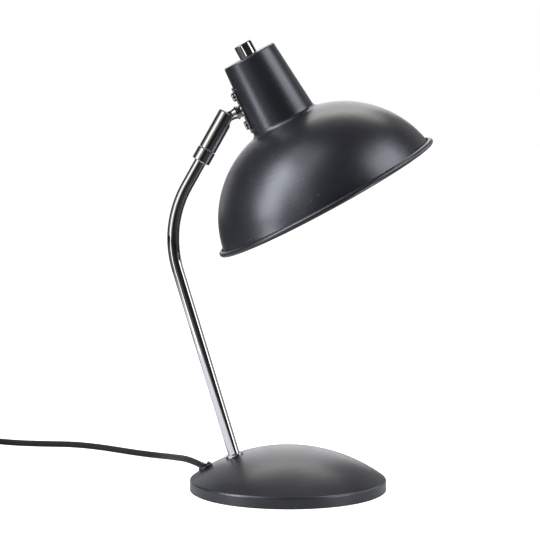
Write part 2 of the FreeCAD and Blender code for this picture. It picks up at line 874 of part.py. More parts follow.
def lampholder_cap():
    """Rear part of the lampholder, screwed on the nipple."""
    outer = cone(holder_cap_top_radius, holder_radius, holder_cap_start, holder_cap_shoulder)
    outer = outer.fuse(rod(holder_radius, holder_cap_shoulder, holder_split))
    inner = rod(holder_radius - holder_wall, insulator_start, holder_split + overrun)
    bore = rod(nipple_radius, 0, holder_split)
    pocket = rod(holder_cap_top_radius - holder_wall, holder_cap_start + holder_wall, holder_split)
    return placed(outer.removeSplitter().cut(inner).cut(bore).cut(pocket), head_frame)


def lampholder_body():
    """Front part of the lampholder, with a lip around the screw shell."""
    outer = rod(holder_radius, holder_split, holder_end)
    outer = rounded(outer, holder_lip / 2, holder_end, holder_radius)
    hollow = rod(holder_radius - holder_wall, holder_split - overrun, holder_end - holder_lip)
    mouth = rod(screw_shell_radius + seat_gap, holder_split, holder_end + overrun)
    return placed(outer.cut(hollow).cut(mouth), head_frame)


def lampholder_insulator():
    """Ceramic disc that carries the contacts."""
    body = ring(holder_radius - holder_wall, lead_radius + thread_gap, insulator_start, insulator_end)
    return placed(body, head_frame)


def screw_shell():
    """Brass screw shell."""
    body = ring(screw_shell_radius, screw_shell_radius - screw_shell_wall, insulator_end, screw_shell_end)
    floor_top = insulator_end + screw_shell_wall
    floor = ring(screw_shell_radius, contact_radius + holder_lip, insulator_end, floor_top)
    return placed(body.fuse(floor).removeSplitter(), head_frame)


def centre_contact():
    """Brass centre contact."""
    return placed(rod(contact_radius, insulator_end, insulator_end + contact_height), head_frame)


def bulb_contact():
    """Contact of the bulb."""
    body = rod(bulb_contact_radius, bulb_contact_start, bulb_contact_start + bulb_contact_height)
    return placed(body, head_frame)


def bulb_cap():
    """Screw cap of the bulb."""
    start = bulb_contact_start + bulb_contact_height
    shoulder = start + bulb_cap_taper
    inner = bulb_cap_radius - bulb_cap_wall
    body = cone(bulb_contact_radius, bulb_cap_radius, start, shoulder)
    body = body.fuse(rod(bulb_cap_radius, shoulder, bulb_cap_end)).removeSplitter()
    return placed(body.cut(rod(inner, shoulder, bulb_cap_end + overrun)), head_frame)


def bulb_glass():
    """Round bulb with a short neck into the cap."""
    join = math.sqrt(bulb_radius ** 2 - bulb_cap_radius ** 2)
    middle = Vector(0, 0, bulb_centre)
    body = Part.makeSphere(bulb_radius, middle)
    body = body.fuse(cone(bulb_neck_radius, bulb_cap_radius, bulb_cap_end, bulb_centre - join))
    hollow = Part.makeSphere(bulb_radius - bulb_wall, middle)
    hollow = hollow.fuse(rod(bulb_neck_radius - bulb_wall, bulb_cap_end - overrun, bulb_centre))
    return placed(body.removeSplitter().cut(hollow.removeSplitter()), head_frame)


# Switch
def switch_body():
    """Turn switch below the neck's top, with its threaded bushing."""
    body = rod(switch_radius, shade_wall, shade_wall + switch_depth)
    body = body.fuse(rod(switch_bushing_radius, -switch_bushing_height, shade_wall))
    body = body.cut(rod(spindle_radius + running_gap, -switch_bushing_height - overrun,
                        shade_wall + spindle_depth + face_gap))
    return placed(body.removeSplitter(), head_frame)


def switch_nut():
    """Nut that holds the switch, hidden under the knob."""
    return placed(nut(switch_nut_flats, switch_bushing_radius, -switch_nut_thickness, 0), head_frame)


def switch_spindle():
    """Spindle of the switch."""
    return placed(rod(spindle_radius, -spindle_height, shade_wall + spindle_depth), head_frame)


def switch_knob():
    """Smooth chromed knob, hollow underneath."""
    body = rounded(rod(knob_radius, -knob_height, -knob_gap), knob_round, -knob_height, knob_radius)
    body = body.cut(rod(knob_recess_radius, -knob_recess_height, overrun))
    return placed(body.cut(rod(spindle_radius, -spindle_height, 0)), head_frame)


# Leads in the head
def head_lead():
    """Lead from the stud's end to the switch."""
    start = stud_frame.multVec(Vector(0, 0, thread_end + face_gap))
    first = stud_frame.multVec(Vector(0, 0, thread_end + 3 * lead_radius))
    beside = tab_half_width + 2 * lead_radius
    points = [
        start,
        first,
        head_frame.multVec(Vector(-tab_half_width - lead_radius, beside, tab_drop + 2 * lead_radius)),
        head_frame.multVec(Vector(-tab_half_width / 2, beside, tab_drop - lead_radius)),
        head_frame.multVec(Vector(-lead_radius, switch_radius - 2 * lead_radius, shade_wall + switch_depth)),
    ]
    lead = swept(rounded_path(points, free_radii(points)), lead_radius)
    return lead.cut(placed(rod(switch_radius, 0, shade_wall + switch_depth), head_frame))


def holder_lead():
    """Lead from the switch down through the nipple to the contacts."""
    return placed(rod(lead_radius, shade_wall + switch_depth, insulator_end), head_frame)


# Cord
def inner_path():
    """Centre line of the cord from the bushing's outlet to the terminals."""
    barrel_end = bushing_point - bushing_normal * bushing_barrel_length
    terminal_face = Vector(terminal_x, terminal_width / 2, inner_route[-1].z)
    points = [cord_exit, boot_origin, barrel_end] + inner_route + [terminal_face]
    radii = [bushing_turn_radius] + free_radii(points[1:])
    return rounded_path(points, radii)


def cord_bushing():
    """Bushing that grips the cord in the dome: flange, latch, barrel and short outlet."""
    flange = rounded(rod(bushing_radius, -overrun, bushing_height), bushing_round, bushing_height,
                     bushing_radius)
    latch = block(Vector(latch_near, -latch_half_width, 0), Vector(latch_far, latch_half_width, latch_height))
    latch = latch.makeFillet(latch_round, latch.Edges)
    upper = placed(flange.fuse(latch), bushing_frame).cut(Part.makeSphere(base_dome_radius, base_dome_centre))
    barrel = placed(rod(bushing_barrel_radius, -bushing_barrel_length, face_gap), bushing_frame)
    boot = rod(cord_radius + boot_wall, 0, boot_length)
    boot = placed(boot, frame_at(boot_origin, boot_direction, up))
    boot = boot.cut(Part.makeSphere(base_dome_radius, base_dome_centre))
    body = upper.fuse(barrel).fuse(boot)
    return body.cut(swept(inner_path(), cord_radius + cord_bore_gap)).removeSplitter()


def mains_cord_inside():
    """The cord inside the bushing and the base."""
    return swept(inner_path(), cord_radius)


def cord_clamp():
    """Saddle that clamps the cord to the weight."""
    top = inner_route[2].z + cord_radius
    low = Vector(clamp_x - clamp_half_width, clamp_y - clamp_half_length, weight_top)
    high = Vector(clamp_x + clamp_half_width, clamp_y + clamp_half_length, top + clamp_thickness)
    body = block(low, high)
    tunnel_low = Vector(low.x - overrun, clamp_y - cord_radius - seat_gap, weight_top - overrun)
    tunnel_high = Vector(high.x + overrun, clamp_y + cord_radius + seat_gap, top)
    body = body.cut(block(tunnel_low, tunnel_high))
    for side in (-clamp_screw_reach, clamp_screw_reach):
        hole = rod(clamp_screw_radius + hole_gap, 0, base_height, clamp_x, clamp_y + side)
        body = body.cut(hole)
    return body


def cord_clamp_screws():
    """Two screws of the cord clamp."""
    top = inner_route[2].z + cord_radius + clamp_thickness
    screws = []
    for side in (-clamp_screw_reach, clamp_screw_reach):
        head = rod(clamp_screw_head_radius, top, top + clamp_screw_head_height, clamp_x, clamp_y + side)
        shank = rod(clamp_screw_radius, weight_top - clamp_screw_depth, top, clamp_x, clamp_y + side)
        screws.append(head.fuse(shank).removeSplitter())
    return Part.makeCompound(screws)


def terminal_block():
    """Terminal block on the weight, between cord and arm lead."""
    low = Vector(terminal_x - terminal_length / 2, -terminal_width / 2, weight_top)
    high = Vector(terminal_x + terminal_length / 2, terminal_width / 2, weight_top + terminal_height)
    body = block(low, high)
    for place in (-terminal_screw_spacing / 2, terminal_screw_spacing / 2):
        hole = rod(terminal_screw_radius, high.z - terminal_screw_depth, base_height, terminal_x + place)
        body = body.cut(hole)
    return body


def terminal_screws():
    """Two screws of the terminal block."""
    top = weight_top + terminal_height
    screws = [rod(terminal_screw_radius, top - terminal_screw_depth, top, terminal_x + place)
              for place in (-terminal_screw_spacing / 2, terminal_screw_spacing / 2)]
    return Part.makeCompound(screws)


# Coil
coil_outer_in = coil_inner_radius + coil_pitch * coil_turns_in
coil_total_turns = coil_turns_in + coil_climb_turns + coil_turns_out
coil_base = coil_lift + cord_radius


def coil_polar(turns):
    """Radius and height of the cord's centre after a number of turns."""
    if turns <= coil_turns_in:
        return coil_outer_in - coil_pitch * turns, coil_base
    past = turns - coil_turns_in
    if past <= coil_climb_turns:
        share = past / coil_climb_turns
        radius = coil_inner_radius - coil_pitch * past * (1 - share)
        return radius, coil_base + coil_layer_step * share ** 2 * (3 - 2 * share)
    return coil_inner_radius + coil_pitch * (past - coil_climb_turns), coil_base + coil_layer_step


def coil_point(turns):
    """Point of the coil's centre line."""
    radius, height = coil_polar(turns)
    angle = math.radians(coil_start_angle) + 2 * math.pi * turns
    return Vector(coil_x + radius * math.cos(angle), coil_y + radius * math.sin(angle), height)


def coil_tangent(turns):
    """Direction of the coil's centre line."""
    low = max(turns - closeness, 0.0)
    high = min(turns + closeness, coil_total_turns)
    return (coil_point(high) - coil_point(low)).normalize()


def arc_to(start, direction, end):
    """Arc from start to end that leaves start along a direction."""
    chord = end - start
    angle = direction.getAngle(chord)
    if math.sin(angle) * chord.Length < closeness:
        return Part.LineSegment(start, end).toShape()
    bulge = (direction - chord * (direction.dot(chord) / chord.Length ** 2)).normalize()
    middle = (start + end) * 0.5 + bulge * (chord.Length / 2 * math.tan(angle / 2))
    return Part.Arc(start, middle, end).toShape()


def biarc(start, start_direction, end, end_direction):
    """Two tangent arcs between two points with given directions."""
    span = end - start
    both = start_direction + end_direction
    spread = 2 * (1 - start_direction.dot(end_direction))
    along = span.dot(both)
    reach = (math.sqrt(along ** 2 + spread * span.dot(span)) - along) / spread
    middle = (start + end + (start_direction - end_direction) * reach) * 0.5
    first = arc_to(start, start_direction, middle)
    second = arc_to(end, end_direction * -1, middle)
    return [first, second]


coil_start_direction = coil_tangent(0.0)
coil_end_direction = coil_tangent(coil_total_turns)
coil_lead = 2 * cord_radius
coil_entry = coil_point(0.0) - coil_start_direction * coil_lead
coil_exit = coil_point(coil_total_turns) + coil_end_direction * coil_lead


def coil_path():
    """Centre line of the whole coil, in biarcs of a quarter turn."""
    edges = [Part.LineSegment(coil_entry, coil_point(0.0)).toShape()]
    for k in range(round(coil_total_turns * coil_arcs_per_turn)):
        low = k / coil_arcs_per_turn
        high = (k + 1) / coil_arcs_per_turn
        edges += biarc(coil_point(low), coil_tangent(low), coil_point(high), coil_tangent(high))
    edges.append(Part.LineSegment(coil_point(coil_total_turns), coil_exit).toShape())
    return Part.Wire(Part.__sortEdges__(edges))


def coil_gap():
    """Least gap between the coil's turns, measured on points of its centre line."""
    count = int(coil_total_turns * coil_points_per_turn)
    points = [coil_point(k / coil_points_per_turn) for k in range(count + 1)]
    half_turn = coil_points_per_turn // 2
    least = coil_pitch * coil_total_turns
    for k, point in enumerate(points):
        for other in points[k + half_turn:]:
            least = min(least, point.distanceToPoint(other))
    return least - 2 * cord_radius


def mains_cord_coil():
    """The put-away cord, wound in two layers."""
    return swept(coil_path(), cord_radius)


def rounded_top(shape, size):
    """A box with its two upper edges along Y rounded off."""
    top = shape.BoundBox.ZMax - closeness
    upper = [edge for edge in shape.Edges if edge.CenterOfMass.z > top]
    return shape.makeFillet(size, [edge for edge in upper if edge.BoundBox.YLength > closeness])


def cord_tie():
    """Flat band around the turns of the coil."""
    reach = math.asin(tie_width / 2 / (coil_inner_radius - coil_pitch))
    near_tie = []
    for k in range(int(coil_total_turns * coil_points_per_turn)):
        turns = k / coil_points_per_turn
        angle = math.radians(coil_start_angle - tie_angle) + 2 * math.pi * turns
        from_tie = math.remainder(angle, 2 * math.pi)
        if abs(from_tie) < reach:
            near_tie.append(coil_polar(turns)[0] * math.cos(from_tie))
    inner = min(near_tie) - cord_radius - tie_gap
    outer = max(near_tie) + cord_radius + tie_gap
    low = coil_lift - tie_gap
    high = coil_base + coil_layer_step + cord_radius + tie_gap
    half = tie_width / 2
    hollow = block(Vector(inner, -half, low), Vector(outer, half, high))
    grow = Vector(tie_thickness, 0, tie_thickness)
    body = block(Vector(inner, -half, low) - grow, Vector(outer, half, high) + grow)
    band = rounded_top(body, tie_round + tie_thickness).cut(rounded_top(hollow, tie_round))
    band.rotate(centre, up, tie_angle)
    band.translate(Vector(coil_x, coil_y, 0))
    return band


# Free stretches of the cord
plug_x = coil_x - (coil_inner_radius + coil_pitch * coil_turns_out) - plug_axis_shift
plug_height = plug_body_thickness / 2
plug_start = Vector(plug_x, coil_y - plug_start_back, plug_height)
plug_frame = frame_at(plug_start, Vector(0, -1, 0), Vector(1, 0, 0))


def free_points():
    """The cord from the bushing to the coil."""
    first = cord_exit + boot_direction * cord_first_run
    last = coil_entry - coil_start_direction * cord_last_run
    return [cord_exit, first] + cord_route + [last, coil_entry]


def tail_points():
    """The cord from the coil to the plug."""
    first = coil_exit + coil_end_direction * tail_first_run
    last = plug_start + Vector(0, tail_last_run, 0)
    return [coil_exit, first, last, plug_start]


def free_tube(points):
    """Round cord along points with arcs as large as the runs allow."""
    return swept(rounded_path(points, free_radii(points)), cord_radius)


def mains_cord():
    """Free stretch of the cord."""
    return free_tube(free_points())


def mains_cord_tail():
    """Short stretch between coil and plug."""
    return free_tube(tail_points())


# Plug
def plug_body():
    """Moulded plug with its tapered cord boot."""
    boot = cone(plug_boot_start_radius, plug_boot_end_radius, 0, plug_boot_length)
    start, end = plug_boot_length, plug_boot_length + plug_body_length
    waist = start + plug_body_length * plug_waist_share
    half = plug_body_thickness / 2
    outline = [
        (plug_body_back_width / 2, start),
        (plug_body_width / 2, waist),
        (plug_body_front_width / 2, end),
    ]
    corners = [Vector(x, -half, z) for x, z in outline]
    corners += [Vector(-x, -half, z) for x, z in reversed(outline)]
    shell = Part.Face(Part.makePolygon(corners + corners[:1])).extrude(Vector(0, plug_body_thickness, 0))
    shell = shell.makeFillet(plug_body_round, shell.Edges)
    return placed(shell.fuse(boot).removeSplitter(), plug_frame)


def plug_pins():
    """Two round pins."""
    start = plug_boot_length + plug_body_length
    pins = []
    for side in (-plug_pin_spacing / 2, plug_pin_spacing / 2):
        pin = rod(plug_pin_radius, start, start + plug_pin_length, side)
        tip = [edge for edge in pin.Edges if abs(edge.CenterOfMass.z - start - plug_pin_length) < face_gap
               and edge.Closed]
        pins.append(pin.makeFillet(plug_pin_radius / 2, tip))
    return placed(Part.makeCompound(pins), plug_frame)


pieces = {
    "base_cover": base_cover,
    "base_weight": base_weight,
    "base_plate": base_plate,
    "base_pad": base_pad,
    "base_stud": base_stud,
    "base_nut": base_nut,
    "terminal_block": terminal_block,
    "terminal_screws": terminal_screws,
    "cord_clamp": cord_clamp,
    "cord_clamp_screws": cord_clamp_screws,
    "cord_bushing": cord_bushing,
    "mains_cord_inside": mains_cord_inside,
    "arm_tube": arm_tube,
    "arm_collar": arm_collar,
    "arm_washer": arm_washer,
    "arm_nut": arm_nut,
    "arm_lead": arm_lead,
    "arm_end_collar": arm_end_collar,
    "sleeve_ring": sleeve_ring,
    "joint_sleeve": joint_sleeve,
    "friction_cup": friction_cup,
    "disc_springs": disc_springs,
    "ball_stud": ball_stud,
    "swivel_washer": swivel_washer,
    "spring_washer": spring_washer,
    "stud_nut": stud_nut,
    "swivel_spacer": swivel_spacer,
    "neck_plate": neck_plate,
    "neck_plate_screws": neck_plate_screws,
    "shade": shade,
    "lampholder_bracket": lampholder_bracket,
    "lampholder_nipple": lampholder_nipple,
    "nipple_nuts": nipple_nuts,
    "lampholder_cap": lampholder_cap,
    "lampholder_body": lampholder_body,
    "lampholder_insulator": lampholder_insulator,
    "screw_shell": screw_shell,
    "centre_contact": centre_contact,
    "bulb_contact": bulb_contact,
    "bulb_cap": bulb_cap,
    "bulb_glass": bulb_glass,
    "switch_body": switch_body,
    "switch_nut": switch_nut,
    "switch_spindle": switch_spindle,
    "switch_knob": switch_knob,
    "head_lead": head_lead,
    "holder_lead": holder_lead,
    "mains_cord": mains_cord,
    "mains_cord_coil": mains_cord_coil,
    "mains_cord_tail": mains_cord_tail,
    "cord_tie": cord_tie,
    "plug_body": plug_body,
    "plug_pins": plug_pins,
}


def report_cord():
    """Print the cord's length, its arc radii and the coil's least gap."""
    free = rounded_path(free_points(), free_radii(free_points()))
    tail = rounded_path(tail_points(), free_radii(tail_points()))
    coil = coil_path()
    print("free stretch %.1f, coil %.1f, tail %.1f" % (free.Length, coil.Length, tail.Length))
    print("whole cord %.1f" % (free.Length + coil.Length + tail.Length))
    print("free radii", [round(radius, 1) for radius in free_radii(free_points())])
    print("tail radii", [round(radius, 1) for radius in free_radii(tail_points())])
    gap = coil_gap()
    print("least gap between turns %.2f, wanted over %.2f" % (gap, coil_minimum_gap))


def main():
    os.makedirs("parts", exist_ok=True)
    for name, make in pieces.items():
        shape = make()
        shape.exportStep("parts/" + name + ".step")
        print("%-22s solids %d  volume %.1f" % (name, len(shape.Solids), shape.Volume))
    report_cord()


main()
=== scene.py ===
# A table lamp in its finished materials: black stoved enamel, chrome plate and a textile mains cord.
# Lengths are millimetres here, and become metres where a mesh, a curve, a light or a node gets them.
import json
import math

import bpy
from mathutils import Matrix, Vector

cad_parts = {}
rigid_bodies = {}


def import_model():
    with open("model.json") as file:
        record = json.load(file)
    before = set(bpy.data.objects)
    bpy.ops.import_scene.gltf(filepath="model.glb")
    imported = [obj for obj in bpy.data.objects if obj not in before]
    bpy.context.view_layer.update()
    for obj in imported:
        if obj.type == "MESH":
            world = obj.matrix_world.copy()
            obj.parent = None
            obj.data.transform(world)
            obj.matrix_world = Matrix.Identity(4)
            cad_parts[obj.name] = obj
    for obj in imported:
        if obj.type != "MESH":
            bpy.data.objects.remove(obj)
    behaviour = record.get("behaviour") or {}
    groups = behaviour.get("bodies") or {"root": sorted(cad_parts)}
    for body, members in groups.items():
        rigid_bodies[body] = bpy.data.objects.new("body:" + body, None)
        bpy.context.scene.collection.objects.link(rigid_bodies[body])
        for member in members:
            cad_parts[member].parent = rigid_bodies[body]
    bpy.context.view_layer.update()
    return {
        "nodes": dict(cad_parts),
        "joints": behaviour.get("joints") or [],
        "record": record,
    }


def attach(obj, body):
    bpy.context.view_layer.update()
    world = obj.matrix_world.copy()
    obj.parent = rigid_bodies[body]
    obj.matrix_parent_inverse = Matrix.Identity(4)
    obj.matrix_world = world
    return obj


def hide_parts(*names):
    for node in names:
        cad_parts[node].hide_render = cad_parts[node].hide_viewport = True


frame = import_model()
nodes = frame["nodes"]
metre = 0.001                  # metres in a millimetre
joints = {joint["name"]: joint for joint in frame["joints"]}

# Camera, at the photograph's view
camera_place = Vector((-15.03, -2221.0, 442.8))
camera_dip = 0.1155            # radians below level
camera_lens = 180.0
camera_sensor = 36.0

# Soft boxes: how far each is from the point that it aims at, and the height of that point
box_distance = 1500.0
box_aim_height = 220.0
board_distance = 620.0         # low boards beside the lamp
left_board_aim_height = 340.0
right_board_aim_height = 300.0
knob_board_aim_height = 365.0
arm_board_distance = 400.0
arm_board_aim_height = 260.0

# Room that the lamp reflects
room_light = (0.026, 0.022, 0.02, 1.0)
backdrop_light = (0.2, 0.2, 0.2, 1.0)
backdrop_start = 0.55          # how straight back a direction points, as a cosine
backdrop_full = 0.85

# Table top: painted shade makes it dark where a small table would end, except in a wedge straight behind the
# lamp
table_reach = 4000.0
table_pale = "#b6b6b6"
table_painted_shade = "#2c2a28"
table_dark_start = 400.0       # distance from the middle of the lamp's base
table_dark_full = 560.0
wedge_start = 100.0            # distance behind that point, less the wedge's slope times the way to the side
wedge_full = 400.0
wedge_slope = 2.0
# Painted light: the pale part glows by this much in reflections, though it is no lamp
table_glow = 0.12              # what the pale part adds to reflections
table_grain = 2.0
table_grain_depth = 0.02

# Mains cord: 5.5 mm braided textile
cord_radius = 2.75
cord_length = 1890.7
cord_exit = Vector((-72.446, 5.279, 19.958))
cord_start = [
    Vector((-77.848, 12.994, 21.198)),
    Vector((-84.4, 26.0, 21.0)),
    Vector((-88.8, 47.0, 18.0)),
    Vector((-97.6, 81.0, 12.6)),
    Vector((-104.2, 113.0, 7.4)),
    Vector((-112.4, 138.0, 3.4)),
    Vector((-137.0, 157.5, 2.75)),
    Vector((-167.0, 183.5, 2.75)),
    Vector((-194.0, 198.5, 2.75)),
    Vector((-224.0, 200.5, 2.75)),
    Vector((-253.0, 207.0, 2.75)),
    Vector((-281.508, 220.427, 3.55)),
]
cord_end = [
    Vector((-356.639, 159.504, 9.55)),
    Vector((-357.75, 143.0, 6.85)),
    Vector((-357.75, 129.0, 6.85)),
]
coil_centre = Vector((-312.0, 177.0, 3.55))
coil_inner_radius = 22.9
coil_pitch = 6.1
coil_layer_step = 6.0
coil_turns_in = 3.25
coil_climb_turns = 0.5
coil_turns_out = 3.5
coil_start_angle = 90.0
coil_points_per_turn = 24
braid_strands = 16
braid_pitch = 1.1              # along the cord from strand to strand, drawn slightly coarse
braid_depth = 0.25
# Painted shade in the braid's valleys, and the yarn's own colour on its crowns
braid_valley_shade = "#080707"
braid_crown = "#1b1918"

# Shade, measured along the head's axis from the top of the neck
dome_centre_drop = 147.1
dome_centre_offset = 9.8
dome_inner_radius = 86.45
dome_start_drop = 66.0
white_end_drop = 133.1
neck_roof_drop = 2.0           # the roof of the neck ends above this
neck_wall_facing = 0.3         # how squarely its faces look inwards or down, as a cosine
neck_roof_facing = 0.5
sheet_half = 0.4               # half the thickness of the spun sheet

# Lampholder skirt, measured the same way
holder_radius = 18.5
holder_start = 52.0
holder_end = 76.0
holder_bore = 16.2
holder_mouth = 14.4
holder_collar = 2.6            # smooth bands above and below the flutes
holder_rim = 3.8
holder_edge = 0.7              # rounding of the rim's outer edge, and what its middle takes off the corner
holder_edge_middle = 0.2
holder_lip = 1.6               # thickness of the lip round the mouth, and its bevel
lip_bevel_width = 0.5
lip_bevel_height = 0.4
flute_count = 32
flute_depth = 0.7
flute_fade = 0.6               # the way over which a flute reaches its depth

# Bulb, measured the same way
bulb_radius = 22.5
bulb_centre = 104.0
bulb_neck_radius = 12.6
bulb_neck_step = 0.2
bulb_start = 76.0
bulb_tip_radius = 0.3
bulb_blend = 9                 # power that joins neck and ball; a higher one makes a sharper corner
bulb_rings = 44
bulb_points = 96

# Mains plug, measured from its cord end
plug_start = Vector((-357.75, 129.0, 6.85))
plug_pin_sleeve = 10.0
plug_length = 56.0
plug_points = 96
rib_count = 6
rib_start = 1.6
rib_pitch = 2.8
rib_radius = 4.1
rib_growth = 0.16              # how much each rib is wider than the one before

# Finishes
enamel_black = "#1a1a1d"
enamel_patch = 45.0            # width of the patches between which its gloss changes
peel_width = 1.4               # width of a dimple of its orange peel
peel_depth = 0.1
spin_mark_width = 1.3          # from one turning mark to the next, drawn coarser than it is to show
base_mark_depth = 1.6          # depth of the turning marks, in times the depth of the orange peel
shade_mark_depth = 6.0
nib_grey = "#5e5e62"
nib_spacing = 6.0              # width of a cell that may hold one dust nib
nib_radius_share = 0.07        # radius of the nib, as a share of that width
nib_free_share = 0.8           # share of the cells that hold none
polish_width = 6.0             # width of the patches that the polishing wheel leaves on chrome
edge_wear = 0.25               # rounding of turned chrome edges
grain_change = 0.15            # how much a fine grain changes the roughness, either way
nickel_colour = "#cfc9bd"
plug_black = "#17171a"


# Nodes and colours
def linear(text):
    """Linear colour with full alpha from an sRGB hex value."""
    parts = [int(text[k:k + 2], 16) / 255 for k in (1, 3, 5)]
    return [p / 12.92 if p <= 0.04045 else ((p + 0.055) / 1.055) ** 2.4 for p in parts] + [1.0]


def add(tree, kind, inputs=None, **settings):
    """Add a node; an input given as a socket is linked, any other sets the socket's value.

    An input has its socket's name, or its number where names repeat: a colour mix takes 6 and 7.
    """
    node = tree.nodes.new(kind)
    for name, value in settings.items():
        setattr(node, name, value)
    for key, value in (inputs or {}).items():
        if isinstance(value, bpy.types.NodeSocket):
            tree.links.new(value, node.inputs[key])
        else:
            node.inputs[key].default_value = value
    return node


def new_material(name):
    """A material with an empty node tree, and that tree."""
    made = bpy.data.materials.new(name)
    made.use_nodes = True
    made.node_tree.nodes.clear()
    return made, made.node_tree


def black_enamel(name, centre, axis, mark_depth):
    """Stoved enamel on a spun sheet: satin, with orange peel, faint turning marks and a few dust nibs.

    The marks run round the axis, and their depth is given in times the depth of the peel.
    """
    made, tree = new_material(name)
    place = add(tree, "ShaderNodeTexCoord").outputs["Object"]
    from_centre = add(tree, "ShaderNodeVectorMath", {0: place, 1: centre * metre}, operation="SUBTRACT")
    along = add(tree, "ShaderNodeVectorMath", {0: from_centre.outputs[0], 1: axis},
                operation="DOT_PRODUCT")
    marks = add(tree, "ShaderNodeTexNoise",
                {"W": along.outputs["Value"], "Scale": 1 / (spin_mark_width * metre)},
                noise_dimensions="1D")
    patches = add(tree, "ShaderNodeTexNoise", {"Vector": place, "Scale": 1 / (enamel_patch * metre)})
    uneven = add(tree, "ShaderNodeMath", {0: marks.outputs["Fac"], 1: patches.outputs["Fac"]},
                 operation="MULTIPLY")
    rough = add(tree, "ShaderNodeMapRange", {"Value": uneven.outputs[0], "To Min": 0.31, "To Max": 0.43})
    peel = add(tree, "ShaderNodeTexNoise", {"Vector": place, "Scale": 1 / (peel_width * metre)})
    height = add(tree, "ShaderNodeMath",
                 {0: marks.outputs["Fac"], 1: mark_depth, 2: peel.outputs["Fac"]},
                 operation="MULTIPLY_ADD")
    bump = add(tree, "ShaderNodeBump",
               {"Height": height.outputs[0], "Strength": 0.1, "Distance": peel_depth * metre})
    # Dust nibs: some cells of the enamel hold a pale grain under a millimetre across
    cells = add(tree, "ShaderNodeTexVoronoi", {"Vector": place, "Scale": 1 / (nib_spacing * metre)})
    chance = add(tree, "ShaderNodeSeparateColor", {"Color": cells.outputs["Color"]})
    picked = add(tree, "ShaderNodeMath", {0: chance.outputs["Red"], 1: nib_free_share},
                 operation="GREATER_THAN")
    near = add(tree, "ShaderNodeMath", {0: cells.outputs["Distance"], 1: nib_radius_share},
               operation="LESS_THAN")
    nib = add(tree, "ShaderNodeMath", {0: picked.outputs[0], 1: near.outputs[0]}, operation="MULTIPLY")
    tint = add(tree, "ShaderNodeMix",
               {"Factor": nib.outputs[0], 6: linear(enamel_black), 7: linear(nib_grey)}, data_type="RGBA")
    shader = add(tree, "ShaderNodeBsdfPrincipled",
                 {"Base Color": tint.outputs[2], "Roughness": rough.outputs["Result"], "IOR": 1.5,
                  "Normal": bump.outputs["Normal"]})
    add(tree, "ShaderNodeOutputMaterial", {"Surface": shader.outputs["BSDF"]})
    return made


def chrome_plate():
    """Polished chrome: clear reflections, barely blurred by the wheel's marks, with its edges rounded."""
    made, tree = new_material("chrome_plate")
    place = add(tree, "ShaderNodeTexCoord").outputs["Object"]
    marks = add(tree, "ShaderNodeTexNoise", {"Vector": place, "Scale": 1 / (polish_width * metre)})
    rough = add(tree, "ShaderNodeMapRange", {"Value": marks.outputs["Fac"], "To Min": 0.05, "To Max": 0.1})
    soft = add(tree, "ShaderNodeBevel", {"Radius": edge_wear * metre}, samples=6)
    shader = add(tree, "ShaderNodeBsdfPrincipled",
                 {"Base Color": linear("#dfdedd"), "Metallic": 1.0, "Roughness": rough.outputs["Result"],
                  "Normal": soft.outputs["Normal"]})
    add(tree, "ShaderNodeOutputMaterial", {"Surface": shader.outputs["BSDF"]})
    return made


def textile_braid(length):
    """Polyester yarn braided round a cord of this length: matt black, with crossing strands and painted
    shade in the valleys between them.
    """
    made, tree = new_material("textile_braid")
    place = add(tree, "ShaderNodeTexCoord").outputs["UV"]
    turn = add(tree, "ShaderNodeSeparateXYZ", {"Vector": place})
    along = add(tree, "ShaderNodeMath", {0: turn.outputs["X"], 1: length / braid_pitch},
                operation="MULTIPLY")
    around = add(tree, "ShaderNodeMath", {0: turn.outputs["Y"], 1: braid_strands / 2},
                 operation="MULTIPLY")
    waves = []
    for way in ("ADD", "SUBTRACT"):
        mixed = add(tree, "ShaderNodeMath", {0: along.outputs[0], 1: around.outputs[0]}, operation=way)
        angle = add(tree, "ShaderNodeMath", {0: mixed.outputs[0], 1: 2 * math.pi}, operation="MULTIPLY")
        waves.append(add(tree, "ShaderNodeMath", {0: angle.outputs[0]}, operation="SINE").outputs[0])
    strands = add(tree, "ShaderNodeMath", {0: waves[0], 1: waves[1]}, operation="MAXIMUM")
    # From 0 in the valleys to 1 on the crowns of the strands; the colour darkens towards the valleys as
    # painted shade
    height = add(tree, "ShaderNodeMapRange", {"Value": strands.outputs[0]}).outputs["Result"]
    tint = add(tree, "ShaderNodeMix", {"Factor": height, 6: linear(braid_valley_shade), 7: linear(braid_crown)},
               data_type="RGBA")
    bump = add(tree, "ShaderNodeBump", {"Height": height, "Strength": 0.6, "Distance": braid_depth * metre})
    shader = add(tree, "ShaderNodeBsdfPrincipled",
                 {"Base Color": tint.outputs[2], "Roughness": 0.8, "Sheen Weight": 0.04,
                  "Specular IOR Level": 0.25, "Normal": bump.outputs["Normal"]})
    add(tree, "ShaderNodeOutputMaterial", {"Surface": shader.outputs["BSDF"]})
    return made


def plain_finish(name, colour, rough, metallic=0.0, size=3.0, depth=0.02):
    """A moulded, plated or cast finish with a fine grain of this size and depth."""
    made, tree = new_material(name)
    place = add(tree, "ShaderNodeTexCoord").outputs["Object"]
    grain = add(tree, "ShaderNodeTexNoise", {"Vector": place, "Scale": 1 / (size * metre)})
    blur = add(tree, "ShaderNodeMapRange",
               {"Value": grain.outputs["Fac"], "To Min": rough * (1 - grain_change),
                "To Max": rough * (1 + grain_change)})
    bump = add(tree, "ShaderNodeBump",
               {"Height": grain.outputs["Fac"], "Strength": 0.2, "Distance": depth * metre})
    shader = add(tree, "ShaderNodeBsdfPrincipled",
                 {"Base Color": linear(colour), "Metallic": metallic, "Roughness": blur.outputs["Result"],
                  "Normal": bump.outputs["Normal"]})
    add(tree, "ShaderNodeOutputMaterial", {"Surface": shader.outputs["BSDF"]})
    return made


